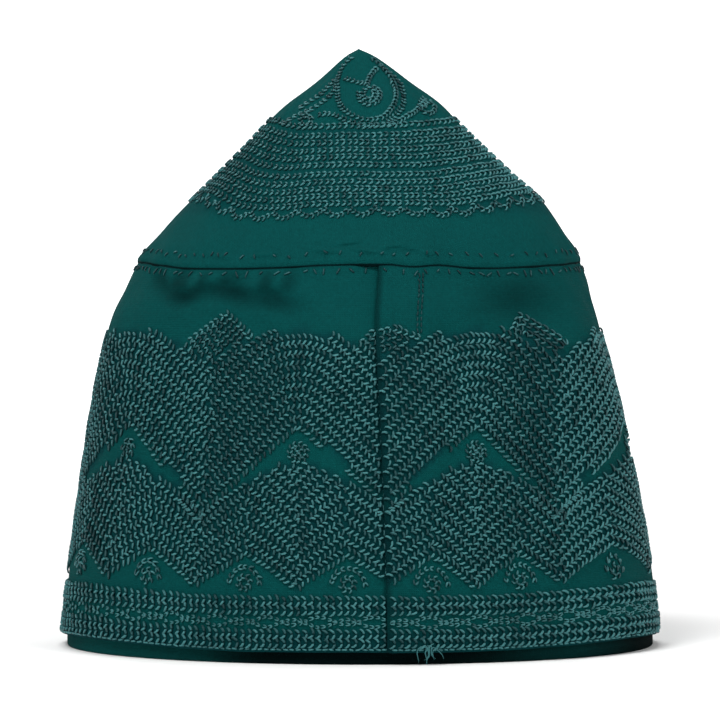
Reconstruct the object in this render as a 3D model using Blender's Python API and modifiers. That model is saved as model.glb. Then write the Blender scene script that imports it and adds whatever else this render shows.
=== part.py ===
"""Kufi cap: a low cone crown, a flared side panel lapped at the front, and an inner band.

Metres, +Z up. The rim of the inner band rests on z = 0, the front faces -Y, and the origin is
under the middle of the rim. An angle of 0 is the middle of the front and 90 the +X side.
"""

import math

import bmesh
import bpy
from mathutils import Vector

# Outer sizes of the cap
RIM_WIDTH = 0.2006
RIM_DEPTH = 0.172
SEAM_WIDTH = 0.1484
SEAM_DEPTH = 0.128
SEAM_HEIGHT = 0.1267
CROWN_HEIGHT = 0.0727

# Cloth and clearance
CROWN_CLOTH = 0.0016
PANEL_CLOTH = 0.0016
BAND_CLOTH = 0.0012
CLEARANCE = 0.0003

# Upright edge of the cloth on each side of the crown seam
SEAM_EDGE = 0.0008

# Hem of the side panel, raised over the rim of the inner band
HEM_RISE = 0.0028
HEM_FRONT_LIFT = 0.002

# Inner band
BAND_HEIGHT = 0.042
BAND_FOOT = 0.003

# Lapped upright seam of the side panel. The crown stands proud over its thickness, rising over
# the LAP_LEAD degrees before the fold, and is flush again at a height of LAP_FADE.
LAP_ANGLE = 5.3
LAP_WIDTH = 0.012
LAP_LEAD = 9.0
LAP_FADE = 0.026

# Gathers under the crown seam, left of the front. They die away from the middle one outward,
# over GATHER_SPREAD degrees.
GATHER_COUNT = 5
GATHER_FROM = -54.0
GATHER_TO = -14.0
GATHER_DEPTH = 0.0011
GATHER_DROP = 0.014
GATHER_SPREAD = 25.0

# Deepest dent of the side panel and of the crown
PANEL_DENT = 0.0032
CROWN_DENT = 0.0012

# Sections of the side, from the surface up. height is a share of SEAM_HEIGHT, flare runs from
# 0 at the seam's size to 1 at the rim's, and shift is a sideways share of SEAM_WIDTH.
SIDE_SECTIONS = (
    # height, flare, shift
    (0.00, 1.000, 0.000),
    (0.13, 0.940, 0.001),
    (0.38, 0.755, -0.002),
    (0.64, 0.540, -0.008),
    (0.77, 0.410, -0.012),
    (0.88, 0.255, -0.012),
    (0.95, 0.120, -0.006),
    (1.00, 0.000, -0.002),
)

# Sections of the crown, from the seam to the tip. width is a share of SEAM_WIDTH and
# SEAM_DEPTH, height a share of CROWN_HEIGHT, and shift a sideways share of SEAM_WIDTH.
CROWN_SECTIONS = (
    # width, height, shift
    (1.00, 0.000, -0.002),
    (0.95, 0.083, 0.004),
    (0.87, 0.194, 0.010),
    (0.78, 0.304, 0.014),
    (0.66, 0.418, 0.011),
    (0.55, 0.528, 0.008),
    (0.45, 0.635, 0.007),
    (0.34, 0.745, 0.009),
    (0.19, 0.862, 0.008),
    (0.07, 0.962, 0.001),
    (0.00, 1.000, -0.003),
)

# Dents of the side panel. angle and spread are degrees, height and reach are shares of
# SEAM_HEIGHT, and push is a share of PANEL_DENT, above 0 where the cloth stands proud.
PANEL_DENTS = (
    # angle, spread, height, reach, push
    (44.0, 20.0, 0.890, 0.090, -0.70),
    (64.0, 16.0, 0.830, 0.110, 0.35),
    (20.0, 15.0, 0.900, 0.080, 0.30),
    (-34.0, 26.0, 0.850, 0.090, -0.45),
    (-72.0, 18.0, 0.840, 0.120, 0.35),
    (-4.0, 14.0, 0.780, 0.160, 0.30),
    (128.0, 26.0, 0.860, 0.110, -0.60),
    (176.0, 24.0, 0.880, 0.090, 0.40),
    (222.0, 24.0, 0.850, 0.110, -0.55),
    (150.0, 30.0, 0.450, 0.260, -0.40),
    (205.0, 28.0, 0.400, 0.260, 0.40),
    (52.0, 24.0, 0.420, 0.240, -0.30),
    (-48.0, 22.0, 0.420, 0.240, 0.30),
)

# Dents of the crown. height and reach are shares of CROWN_HEIGHT, and push of CROWN_DENT.
CROWN_DENTS = (
    # angle, spread, height, reach, push
    (-58.0, 24.0, 0.300, 0.220, 0.60),
    (-8.0, 22.0, 0.180, 0.130, -0.70),
    (40.0, 24.0, 0.360, 0.220, 0.50),
    (116.0, 28.0, 0.340, 0.240, -1.00),
    (196.0, 30.0, 0.300, 0.240, 0.90),
    (244.0, 24.0, 0.420, 0.240, -0.90),
)

# Rows of faces: heights of the panel and band rows are shares of their own slopes, and widths
# of the crown rows are shares of the seam's.
PANEL_ROWS = (0.0, 0.10, 0.24, 0.38, 0.52, 0.64, 0.74, 0.82, 0.89, 0.945, 1.0)
BAND_ROWS = (0.32, 0.66, 1.0)
CROWN_ROWS = (1.0, 0.95, 0.88, 0.78, 0.67, 0.57, 0.47, 0.37, 0.27, 0.17, 0.08, 0.0)

# Angles between columns of faces, in degrees, and the columns of the hidden lap
COARSE_STEP = 4.5
FINE_STEP = 2.0
LAP_COLUMNS = 2

WELD_DISTANCE = 0.00001
FULL_TURN = 360.0

# Worked out from the sizes: the top of the panel's slope, and the foot and the rise of the
# crown's
SLOPE_TOP = SEAM_HEIGHT - CLEARANCE / 2 - SEAM_EDGE
CROWN_FOOT = SEAM_HEIGHT + CLEARANCE / 2 + SEAM_EDGE
CROWN_RISE = SEAM_HEIGHT + CROWN_HEIGHT - CROWN_FOOT

# Linear colours of the cloth
TEAL = (0.0056, 0.0762, 0.0762, 1.0)
DEEP_TEAL = (0.0048, 0.0660, 0.0670, 1.0)
SHADED_TEAL = (0.0027, 0.0232, 0.0232, 1.0)


def read_table(table, place, column):
    """A column of a table at a place in its first column, on a smooth curve through its rows."""
    rows = sorted(table)
    last = len(rows) - 1
    lower = max(index for index in range(last) if rows[index][0] <= place or index == 0)

    def slope(index):
        before = rows[max(index - 1, 0)]
        after = rows[min(index + 1, last)]
        return (after[column] - before[column]) / (after[0] - before[0])

    start = rows[lower]
    end = rows[lower + 1]
    span = end[0] - start[0]
    t = (place - start[0]) / span
    return (
        (2 * t**3 - 3 * t**2 + 1) * start[column]
        + (t**3 - 2 * t**2 + t) * span * slope(lower)
        + (3 * t**2 - 2 * t**3) * end[column]
        + (t**3 - t**2) * span * slope(lower + 1)
    )


def smooth_step(value):
    """0 below 0, 1 above 1, and a smooth rise between."""
    t = min(max(value, 0.0), 1.0)
    return t * t * (3.0 - 2.0 * t)


def bump(offset, reach):
    """A smooth hill: 1 where the offset is 0, and 0 from the reach outward."""
    return 1.0 - smooth_step(abs(offset) / reach)


def turn_between(angle, other):
    """The signed angle from the other to the angle, in degrees, within half a turn."""
    return (angle - other + FULL_TURN / 2) % FULL_TURN - FULL_TURN / 2


def dents(table, angle, height):
    """The share by which the cloth is pushed out, or in where it is negative."""
    return sum(
        push * bump(turn_between(angle, middle), spread) * bump(height - level, reach)
        for middle, spread, level, reach, push in table
    )


def gathers(angle, height):
    """The small puffs under the crown seam, pushed in between their crests."""
    share = (angle - GATHER_FROM) / (GATHER_TO - GATHER_FROM)
    if not 0.0 < share < 1.0:
        return 0.0
    middle = (GATHER_FROM + GATHER_TO) / 2
    below = (SLOPE_TOP - height) / GATHER_DROP
    if not 0.0 < below < 1.0:
        return 0.0
    wave = math.sin(math.pi * GATHER_COUNT * share) ** 2
    fade = math.sin(math.pi * below) ** 2 * bump(angle - middle, GATHER_SPREAD)
    return -GATHER_DEPTH * (1.0 - wave) * fade


def lap_rise(past_fold, half_width):
    """How far cloth past the fold, in degrees, is raised by the lap under it."""
    lap_turn = math.degrees(LAP_WIDTH / half_width)
    return (PANEL_CLOTH + CLEARANCE) * (1.0 - smooth_step(past_fold / lap_turn - 1.0))


def side_point(angle, height, out):
    """A point of the side, its angle in degrees, its height, and how far it lies outward."""
    share = min(height / SLOPE_TOP, 1.0)
    flare = read_table(SIDE_SECTIONS, share, 1)
    shift = read_table(SIDE_SECTIONS, share, 2) * SEAM_WIDTH
    half_width = (SEAM_WIDTH + (RIM_WIDTH - SEAM_WIDTH) * flare) / 2
    half_depth = (SEAM_DEPTH + (RIM_DEPTH - SEAM_DEPTH) * flare) / 2
    push = out + PANEL_DENT * dents(PANEL_DENTS, angle, share)
    push += gathers(turn_between(angle, 0.0), height)
    turn = math.radians(angle)
    outward = Vector((math.sin(turn) * half_depth, -math.cos(turn) * half_width, 0.0))
    middle = Vector((math.sin(turn) * half_width + shift, -math.cos(turn) * half_depth, height))
    return middle + push * outward.normalized()


def crown_point(angle, row):
    """A point of the crown. A row is its share of the seam's width and how far it hangs."""
    width, drop = row
    share = read_table(CROWN_SECTIONS, width, 1)
    shift = read_table(CROWN_SECTIONS, width, 2) * SEAM_WIDTH
    past_fold = turn_between(angle, LAP_ANGLE)
    clear_of_lap = smooth_step(share * CROWN_RISE / LAP_FADE)
    push = CROWN_DENT * dents(CROWN_DENTS, angle, share) * clear_of_lap
    over_lap = smooth_step(past_fold / LAP_LEAD + 1.0) * (1.0 - clear_of_lap)
    push += lap_rise(past_fold, SEAM_WIDTH / 2) * over_lap
    turn = math.radians(angle)
    half_width = SEAM_WIDTH / 2 * width
    half_depth = SEAM_DEPTH / 2 * width
    outward = Vector((math.sin(turn) * SEAM_DEPTH, -math.cos(turn) * SEAM_WIDTH, 0.0)).normalized()
    outward.z = SEAM_WIDTH / 2 / CROWN_HEIGHT * clear_of_lap
    outward.normalize()
    middle = Vector((
        math.sin(turn) * half_width + shift,
        -math.cos(turn) * half_depth,
        CROWN_FOOT - drop + share * CROWN_RISE,
    ))
    return middle + push * outward


def hem_height(angle):
    """The height of the panel's hem, a little higher at the front."""
    front = max(math.cos(math.radians(angle)), 0.0)
    return HEM_RISE + HEM_FRONT_LIFT * front**2


def round_columns(start, fine):
    """Angles once round from the start, closer together over the gathers where fine."""
    angles = [start]
    while angles[-1] < start + FULL_TURN:
        here = turn_between(angles[-1], 0.0)
        gathered = GATHER_FROM - COARSE_STEP <= here < GATHER_TO
        angles.append(angles[-1] + (FINE_STEP if fine and gathered else COARSE_STEP))
    stretch = FULL_TURN / (angles[-1] - start)
    return [start + (angle - start) * stretch for angle in angles]


def panel_point(column, row):
    """A point of the lapped strip. A column is its angle and its share of the hidden lap, and
    a row its share of the slope's height and how far it stands over that."""
    angle, lap_share = column
    slope_share, lift = row
    foot = hem_height(angle)
    height = foot + (SLOPE_TOP - foot) * slope_share + lift
    flare = read_table(SIDE_SECTIONS, min(height / SLOPE_TOP, 1.0), 1)
    half_width = (SEAM_WIDTH + (RIM_WIDTH - SEAM_WIDTH) * flare) / 2
    hidden = lap_share * math.degrees(LAP_WIDTH / half_width)
    return side_point(angle + hidden, height, lap_rise(angle - LAP_ANGLE, half_width))


def band_point(angle, height):
    """A point of the inner band, which stands upright at its foot."""
    inset = PANEL_CLOTH + CLEARANCE
    point = side_point(angle, max(height, BAND_FOOT), -inset)
    point.z = height
    return point


def cloth_material(name, colour, roughness):
    """Plain cotton in one colour."""
    material = bpy.data.materials.new(name)
    material.use_nodes = True
    shader = material.node_tree.nodes["Principled BSDF"]
    shader.inputs["Base Color"].default_value = colour
    shader.inputs["Roughness"].default_value = roughness
    shader.inputs["Metallic"].default_value = 0.0
    material.diffuse_color = colour
    return material


def wrapped_sheet(name, columns, rows, place, closed):
    """An open sheet: a flat grid with a column and a row for each named one, laid by place."""
    sheet = bmesh.new()
    across = len(columns) - 1
    up = len(rows) - 1
    bmesh.ops.create_grid(sheet, x_segments=across, y_segments=up, size=0.5)
    for vert in sheet.verts:
        column = columns[round((vert.co.x + 0.5) * across)]
        row = rows[round((vert.co.y + 0.5) * up)]
        vert.co = place(column, row)
    if closed:
        bmesh.ops.remove_doubles(sheet, verts=sheet.verts, dist=WELD_DISTANCE)
    mesh = bpy.data.meshes.new(name)
    sheet.to_mesh(mesh)
    sheet.free()
    mesh.shade_smooth()
    return bpy.data.objects.new(name, mesh)


def add_cloth(collection, parent, sheet, thickness, material):
    """Gives the sheet its thickness, inward, and its material, and puts it in the cap."""
    sheet.data.materials.append(material)
    solidify = sheet.modifiers.new("cloth", "SOLIDIFY")
    solidify.thickness = thickness
    solidify.offset = -1.0
    solidify.use_even_offset = True
    solidify.use_quality_normals = True
    solidify.use_rim = True
    collection.objects.link(sheet)
    sheet.parent = parent
    return sheet


def build_crown():
    """The cone of the crown, from the seam to its blunt tip."""
    columns = round_columns(LAP_ANGLE, fine=False)
    rows = [(CROWN_ROWS[0], SEAM_EDGE)] + [(width, 0.0) for width in CROWN_ROWS]
    return wrapped_sheet("crown", columns, rows, crown_point, closed=True)


def build_side_panel():
    """The strip of the side, once round from the fold and on under it for the lap."""
    columns = [(angle, 0.0) for angle in round_columns(LAP_ANGLE, fine=True)]
    end = columns[-1][0]
    columns += [(end, (index + 1) / LAP_COLUMNS) for index in range(LAP_COLUMNS)]
    rows = [(share, 0.0) for share in PANEL_ROWS] + [(PANEL_ROWS[-1], SEAM_EDGE)]
    return wrapped_sheet("side_panel", columns, rows, panel_point, closed=False)


def build_inner_band():
    """The plain band inside the rim, down to the surface."""
    columns = round_columns(LAP_ANGLE, fine=False)
    heights = [0.0, BAND_FOOT]
    heights += [BAND_FOOT + (BAND_HEIGHT - BAND_FOOT) * row for row in BAND_ROWS]
    return wrapped_sheet("inner_band", columns, heights, band_point, closed=True)


def stand_on_origin(cap, pieces):
    """Moves the cap until the origin lies under the middle of its box."""
    bpy.context.view_layer.update()
    graph = bpy.context.evaluated_depsgraph_get()
    corners = [
        piece.matrix_world @ Vector(corner)
        for piece in pieces
        for corner in piece.evaluated_get(graph).bound_box
    ]
    for axis in (0, 1):
        places = [corner[axis] for corner in corners]
        cap.location[axis] = -(min(places) + max(places)) / 2


def main():
    for thing in list(bpy.data.objects):
        bpy.data.objects.remove(thing, do_unlink=True)
    collection = bpy.data.collections.new("kufi_cap")
    bpy.context.scene.collection.children.link(collection)
    cap = bpy.data.objects.new("kufi_cap", None)
    collection.objects.link(cap)
    crown_cloth = cloth_material("crown_cotton", TEAL, 0.85)
    panel_cloth = cloth_material("panel_cotton", DEEP_TEAL, 0.85)
    band_cloth = cloth_material("band_cotton", SHADED_TEAL, 0.9)
    stand_on_origin(cap, [
        add_cloth(collection, cap, build_crown(), CROWN_CLOTH, crown_cloth),
        add_cloth(collection, cap, build_side_panel(), PANEL_CLOTH, panel_cloth),
        add_cloth(collection, cap, build_inner_band(), BAND_CLOTH, band_cloth),
    ])


main()
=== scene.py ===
"""Kufi cap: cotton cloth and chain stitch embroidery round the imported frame, in a pale studio.

Metres, +Z up, the front faces -Y. An angle of 0 is the middle of the front and 90 the +X side.
The cloth follows the same named sizes and tables as the CAD source. Rows of stitches are paths
on the cloth, and every stitch is a small closed mesh: two threads for a loop, one for a dash.
"""

import math

import bmesh
import bpy
import numpy as np
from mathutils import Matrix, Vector


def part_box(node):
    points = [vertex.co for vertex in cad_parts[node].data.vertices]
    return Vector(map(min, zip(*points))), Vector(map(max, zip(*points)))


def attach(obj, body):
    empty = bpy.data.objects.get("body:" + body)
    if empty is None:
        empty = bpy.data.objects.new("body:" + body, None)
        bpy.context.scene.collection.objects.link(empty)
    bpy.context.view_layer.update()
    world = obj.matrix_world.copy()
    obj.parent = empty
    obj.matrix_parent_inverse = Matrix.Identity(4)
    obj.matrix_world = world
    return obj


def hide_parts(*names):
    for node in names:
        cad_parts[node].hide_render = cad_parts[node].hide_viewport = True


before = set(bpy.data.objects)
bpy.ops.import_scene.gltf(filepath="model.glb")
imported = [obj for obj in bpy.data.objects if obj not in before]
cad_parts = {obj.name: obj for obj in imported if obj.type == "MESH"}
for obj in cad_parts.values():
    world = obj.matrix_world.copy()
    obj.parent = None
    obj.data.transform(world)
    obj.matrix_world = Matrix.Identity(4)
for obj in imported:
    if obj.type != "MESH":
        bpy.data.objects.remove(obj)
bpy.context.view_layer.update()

# Outer sizes of the cap, as in the CAD source
RIM_WIDTH = 0.2006
RIM_DEPTH = 0.172
SEAM_WIDTH = 0.1484
SEAM_DEPTH = 0.128
SEAM_HEIGHT = 0.1267
CROWN_HEIGHT = 0.0727
CROWN_CLOTH = 0.0016
PANEL_CLOTH = 0.0016
BAND_CLOTH = 0.0012
CLEARANCE = 0.0003
SEAM_EDGE = 0.0008
HEM_RISE = 0.0028
HEM_FRONT_LIFT = 0.002
BAND_HEIGHT = 0.042
BAND_FOOT = 0.003
LAP_ANGLE = 5.3
LAP_WIDTH = 0.012
LAP_LEAD = 9.0
LAP_FADE = 0.026
GATHER_COUNT = 5
GATHER_FROM = -54.0
GATHER_TO = -14.0
GATHER_DEPTH = 0.0011
GATHER_DROP = 0.014
GATHER_SPREAD = 25.0
PANEL_DENT = 0.0032
CROWN_DENT = 0.0012
FULL_TURN = 360.0
LAP_END = LAP_ANGLE + FULL_TURN
SLOPE_TOP = SEAM_HEIGHT - CLEARANCE / 2 - SEAM_EDGE
PANEL_TOP = SLOPE_TOP + SEAM_EDGE
CROWN_FOOT = SEAM_HEIGHT + CLEARANCE / 2 + SEAM_EDGE
CROWN_RISE = SEAM_HEIGHT + CROWN_HEIGHT - CROWN_FOOT

# The side from the hem up: height, flare, shift
SIDE_SECTIONS = (
    (0.00, 1.000, 0.000),
    (0.13, 0.940, 0.001),
    (0.38, 0.755, -0.002),
    (0.64, 0.540, -0.008),
    (0.77, 0.410, -0.012),
    (0.88, 0.255, -0.012),
    (0.95, 0.120, -0.006),
    (1.00, 0.000, -0.002),
)

# The crown from the seam up: width, height, shift
CROWN_SECTIONS = (
    (1.00, 0.000, -0.002),
    (0.95, 0.083, 0.004),
    (0.87, 0.194, 0.010),
    (0.78, 0.304, 0.014),
    (0.66, 0.418, 0.011),
    (0.55, 0.528, 0.008),
    (0.45, 0.635, 0.007),
    (0.34, 0.745, 0.009),
    (0.19, 0.862, 0.008),
    (0.07, 0.962, 0.001),
    (0.00, 1.000, -0.003),
)

# Soft dents: angle, spread, height, reach, push
PANEL_DENTS = (
    (44.0, 20.0, 0.890, 0.090, -0.70),
    (64.0, 16.0, 0.830, 0.110, 0.35),
    (20.0, 15.0, 0.900, 0.080, 0.30),
    (-34.0, 26.0, 0.850, 0.090, -0.45),
    (-72.0, 18.0, 0.840, 0.120, 0.35),
    (-4.0, 14.0, 0.780, 0.160, 0.30),
    (128.0, 26.0, 0.860, 0.110, -0.60),
    (176.0, 24.0, 0.880, 0.090, 0.40),
    (222.0, 24.0, 0.850, 0.110, -0.55),
    (150.0, 30.0, 0.450, 0.260, -0.40),
    (205.0, 28.0, 0.400, 0.260, 0.40),
    (52.0, 24.0, 0.420, 0.240, -0.30),
    (-48.0, 22.0, 0.420, 0.240, 0.30),
)

CROWN_DENTS = (
    (-58.0, 24.0, 0.300, 0.220, 0.60),
    (-8.0, 22.0, 0.180, 0.130, -0.70),
    (40.0, 24.0, 0.360, 0.220, 0.50),
    (116.0, 28.0, 0.340, 0.240, -1.00),
    (196.0, 30.0, 0.300, 0.240, 0.90),
    (244.0, 24.0, 0.420, 0.240, -0.90),
)

# Repeats of the side's embroidery: a hill at each whole number, a valley at each half
REPEATS = (
    # angle, repeat
    (5.3, -0.47),
    (25.0, 0.00),
    (45.5, 0.50),
    (80.0, 1.00),
    (107.4, 1.50),
    (134.75, 2.00),
    (162.0, 2.50),
    (189.5, 3.00),
    (217.0, 3.50),
    (244.25, 4.00),
    (272.0, 4.50),
    (299.0, 5.00),
    (326.0, 5.50),
    (348.0, 6.00),
    (365.3, 6.45),
)

# The repeats right of the front lean: degrees that they are turned by, at a height
REPEAT_LEAN = (
    # height, lean
    (0.000, -5.0),
    (0.025, -4.2),
    (0.050, -2.0),
    (0.075, 0.0),
    (0.100, 6.0),
    (0.115, 7.0),
)
LEAN_MIDDLE = 48.0
LEAN_SPREAD = 42.0

# The repeats on the left lean the other way
LEFT_LEAN = (
    # height, lean
    (0.000, 2.5),
    (0.030, 3.5),
    (0.050, 5.5),
    (0.075, 6.0),
    (0.090, 2.5),
    (0.105, 0.0),
)
LEFT_LEAN_MIDDLE = 299.0
LEFT_LEAN_SPREAD = 48.0

# The foot of the first repeats right of the upright seam leans back to the left
FOOT_LEAN = 2.8
FOOT_LEAN_MIDDLE = 20.0
FOOT_LEAN_SPREAD = 14.5
FOOT_LEAN_REACH = 0.060

# Levels of the side's embroidery
HILL_TOP = 0.1069
VALLEY_DROP = 0.0100
ARCH_PEAK = 0.0745
ARCH_SLOPE = 0.056
ARCH_ROUND = 0.045
POCKET = 0.0640
POCKET_RIDGE = 0.0663
POCKET_SLOPE = 0.029
ZIGZAG_FOOT = 0.0230
ZIGZAG_RISE = 0.0112
UPPER_ROWS = 13
UPPER_STEP = 0.0034
UPPER_ROUND = 0.003
REPEAT_ARC = 0.075
LOWER_ROWS = 12
LOWER_STEP = 0.0039
LOWER_FLATTEN = 0.004
ROW_CLEAR = 0.0004
ROW_WAVE = 0.0002
FIRST_ROW = 0.0016
# How far the painted shade between the stitches fades at the edges of the embroidery
STITCH_SHADE_FADE = 0.0009
SIDE_LIFT = 0.0025
SIDE_LIFT_REACH = 0.075

# Leaves over the valleys: left foot, peak and right foot as repeats, and the peak's height
LEAVES = (
    (-0.62, -0.39, -0.22, 0.1075),
    (0.15, 0.29, 0.56, 0.1112),
    (1.34, 1.50, 1.66, 0.1115),
    (2.34, 2.50, 2.66, 0.1115),
    (3.34, 3.50, 3.66, 0.1115),
    (4.36, 4.50, 4.64, 0.1050),
    (5.38, 5.57, 5.75, 0.1118),
    (6.35, 6.55, 6.75, 0.1105),
)
LEAF_FOOT = 0.1020
LEAF_STEP = 0.0029
LEAF_TONE = 0.45

# Border rows: how far above the hem the braids and the two wavy rows run
BRAID_LEVELS = (0.0154, 0.0125, 0.0050, 0.0021)
WAVE_LEVELS = (0.0092, 0.0084)
WAVE_HEIGHT = 0.0012
WAVES = 36.0

# Flowers: their heights and the radii of their rings, and the arc over the low ones
LOW_FLOWER = 0.0026
LOW_FLOWER_RADIUS = 0.0020
ARC_REACH = 0.0050
ARC_FOOT = 0.0016
ARC_HEIGHT = 0.0066
ARCH_FLOWER = 0.0672
ARCH_FLOWER_RADII = (0.0027, 0.0009)

# The lines of top stitching: how far past the fold they run, and the height of their lower end
TOP_STITCH_PLACES = (0.0124, 0.0136)
TOP_STITCH_FOOT = 0.1050

# The side's middle radius, for drawings laid flat on it
FLAT_RADIUS = 0.088

# The crown seam's rise and fall
SEAM_WAVE = (
    # angle, rise
    (-180.0, 0.0002),
    (-130.0, -0.0005),
    (-85.0, 0.0012),
    (-70.0, 0.0008),
    (-52.0, -0.0007),
    (-40.0, -0.0010),
    (-22.0, -0.0007),
    (-8.0, 0.0002),
    (7.0, 0.0004),
    (13.0, -0.0003),
    (20.0, 0.0002),
    (28.0, -0.0006),
    (37.0, -0.0008),
    (48.0, -0.0003),
    (62.0, 0.0003),
    (85.0, 0.0012),
    (130.0, -0.0005),
    (180.0, 0.0002),
)

# The crease under the gathers, left of the front
CREASE_LINE = (
    # angle, height
    (-68.0, 0.1236),
    (-60.0, 0.1227),
    (-53.0, 0.1186),
    (-45.5, 0.1168),
    (-38.4, 0.1195),
    (-32.7, 0.1188),
    (-27.1, 0.1168),
    (-20.6, 0.1163),
    (-14.4, 0.1142),
    (-8.0, 0.1128),
)

# Creases in the crown above its seam, near the front
CREASES = (
    # angle, width, half length in degrees, half width as a width share, tilt, push
    (-9.0, 0.968, 5.0, 0.010, 0.0016, 0.00096),
    (-4.0, 0.955, 6.0, 0.008, -0.0012, -0.00072),
    (2.0, 0.972, 5.5, 0.009, 0.0018, 0.00104),
    (7.5, 0.958, 4.5, 0.008, -0.0020, 0.00080),
    (12.5, 0.968, 4.5, 0.009, 0.0024, -0.00080),
    (17.0, 0.975, 4.0, 0.008, 0.0020, 0.00072),
    (-26.0, 0.972, 5.0, 0.009, -0.0010, 0.00064),
    (-38.0, 0.975, 5.0, 0.010, 0.0012, 0.00072),
)

# Fine relief of the cloth, in metres
CREASE_DEPTH = 0.0015
CREASE_ABOVE = 0.0046
CREASE_BELOW = 0.0062
PUFF_REACH = 0.0085
PUFF = 0.0007
PUCKER = 0.0003
PUCKER_LEFT = 0.0014
PUCKER_CROWN = 0.0006
SEAM_TUCK = 0.0003
SIDE_HOLLOW = 0.0004
SIDE_WAVE = 0.00022
CROWN_WAVE = 0.00025

# Tone of the thread by repeat: how the light catches each slope of the embroidery
THREAD_SHADES = (
    # repeat, tone
    (-0.47, 0.72),
    (-0.20, 0.80),
    (-0.08, 1.00),
    (0.06, 1.00),
    (0.14, 0.62),
    (0.46, 0.52),
    (0.54, 1.18),
    (1.00, 1.10),
    (1.50, 0.80),
    (2.00, 1.00),
    (2.50, 0.80),
    (3.00, 1.00),
    (3.50, 0.80),
    (4.00, 1.00),
    (4.50, 0.85),
    (4.95, 0.85),
    (5.10, 1.05),
    (5.46, 1.12),
    (5.54, 0.60),
    (5.90, 0.70),
    (6.02, 0.95),
    (6.45, 1.00),
)

# Crown rows: how far below the tip they run at the front
CROWN_ROW_DROPS = (
    0.0268, 0.0299, 0.0323, 0.0349, 0.0373, 0.0399, 0.0429, 0.0454, 0.0478, 0.0501, 0.0525,
)
SCALLOP_DROP = 0.0542
SCALLOP_DEPTH = 0.0022
SCALLOP_WIDTH = 0.0086

# Stitches, in metres: pitch, half width, lift, thread radius, and a tone
FILL = (0.00192, 0.00158, 0.00062, 0.00037, 1.0)
CHAIN = (0.00202, 0.00096, 0.00057, 0.00033, 1.0)
BRAID = (0.00228, 0.00142, 0.00066, 0.00038, 1.0)
CURL = (0.00165, 0.00078, 0.00056, 0.00030, 0.8)
PETAL = (0.0016, 0.00080, 0.0006, 0.00031, 0.85)
ARC = (0.0019, 0.00062, 0.0006, 0.00031, 0.95)
WAVE = (0.0020, 0.00040, 0.0005, 0.00026, 1.15)
EDGE = (0.0021, 0.0, 0.00040, 0.00030, 1.25)
TOP_STITCH = (0.0019, 0.0, 0.00028, 0.00019, 0.30)
TICK_LIFT = 0.00034
TICK_RADIUS = 0.00022

# A strand from the point of its stitch back along its edge: forward in pitches, sideways in
# half widths, lift in lifts, and radius
LOOP_STRAND = (
    (0.26, 0.02, 0.35, 0.0),
    (0.10, 0.36, 1.00, 1.0),
    (-0.10, 0.80, 0.90, 1.0),
    (-0.36, 1.05, 0.50, 0.8),
    (-0.70, 1.00, -0.30, 0.0),
)
DASH_STRAND = (
    (0.50, 0.0, -0.20, 0.0),
    (0.26, 0.0, 0.95, 1.0),
    (-0.26, 0.0, 0.95, 1.0),
    (-0.50, 0.0, -0.20, 0.0),
)
# Painted light on each strand: a highlight along its crest, shade on its flanks and at its tucked ends,
# and a sheen by its direction
TIP_PAINTED_SHADE = 0.25
CREST_PAINTED_HIGHLIGHT = 1.0
FLANK_PAINTED_SHADE = 0.28
SHEEN_TURN = 20.0
SHEEN_LEAST = 0.44
SHEEN_GAIN = 0.84
SIDE_STRETCH = 0.5
LOOK_AHEAD = 0.0004

# The frayed end: its angle, and its strands
FRAY_ANGLE = 12.6
FRAY_STRANDS = 9
FRAY_STEPS = 8
FRAY_RADIUS = 0.00017

# Colours, as linear shares of red, green and blue
TEAL = (0.0012, 0.0470, 0.0460, 1.0)
# Painted shade: the darker cloth between the stitches, where the thread shades it
STITCH_SHADE_TEAL = (0.0014, 0.0305, 0.0340, 1.0)
# Painted shade in the seams' grooves, along the fold's edges, in creases, pleats and a dent
PAINTED_SHADE_DARK = (0.0003, 0.0030, 0.0038, 1.0)
BAND_TEAL = (0.0018, 0.0470, 0.0455, 1.0)
# Painted shade on the inner band under the hem's overhang
BAND_PAINTED_SHADE = (0.0002, 0.0006, 0.0008, 1.0)
THREAD_LOW = (0.0010, 0.0110, 0.0140, 1.0)
THREAD_HIGH = (0.0420, 0.1620, 0.1700, 1.0)
FLOOR_WHITE = (0.86, 0.86, 0.86, 1.0)
FLOOR_LIGHT = (0.90, 0.90, 0.895, 1.0)
WALL_GREY = (0.35, 0.35, 0.35, 1.0)

LIGHTS = (
    # name, place, size, watts
    ("key_light", (-0.75, -1.15, 1.9), 0.8, 36.0),
    ("fill_light", (1.25, -1.2, 1.4), 0.8, 15.0),
    ("top_light", (0.1, 0.3, 2.3), 1.0, 18.0),
    ("rear_light", (-0.5, 1.7, 1.6), 1.2, 12.0),
)
LIGHT_AIM = (0.0, 0.0, 0.09)
WORLD_STRENGTH = 0.15
CAMERA_PLACE = (0.0, -1.55, 0.126)
CAMERA_DIP = 1.139
CAMERA_LENS = 231.3
FLOOR_SIDES = 96
FLOOR_REACH = 3.0
BOWL_ROUND = 1.5

rng = np.random.default_rng(11)


def smooth_step(value):
    """0 below 0, 1 above 1, and a smooth rise between."""
    t = np.clip(value, 0.0, 1.0)
    return t * t * (3.0 - 2.0 * t)


def bump(offset, reach):
    """A smooth hill: 1 where the offset is 0, and 0 from the reach outward."""
    return 1.0 - smooth_step(np.abs(offset) / reach)


def window(value, start, rise, end, fall):
    """0 before the start and past the end, with a smooth rise and fall inside them."""
    return smooth_step((value - start) / rise) * smooth_step((end - value) / fall)


def run_up(steps):
    """The running sum of steps, from 0."""
    return np.concatenate([[0.0], np.cumsum(steps)])


def steps_along(places):
    """The lengths of the steps from place to place."""
    return np.linalg.norm(np.diff(places, axis=0), axis=1)


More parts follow.
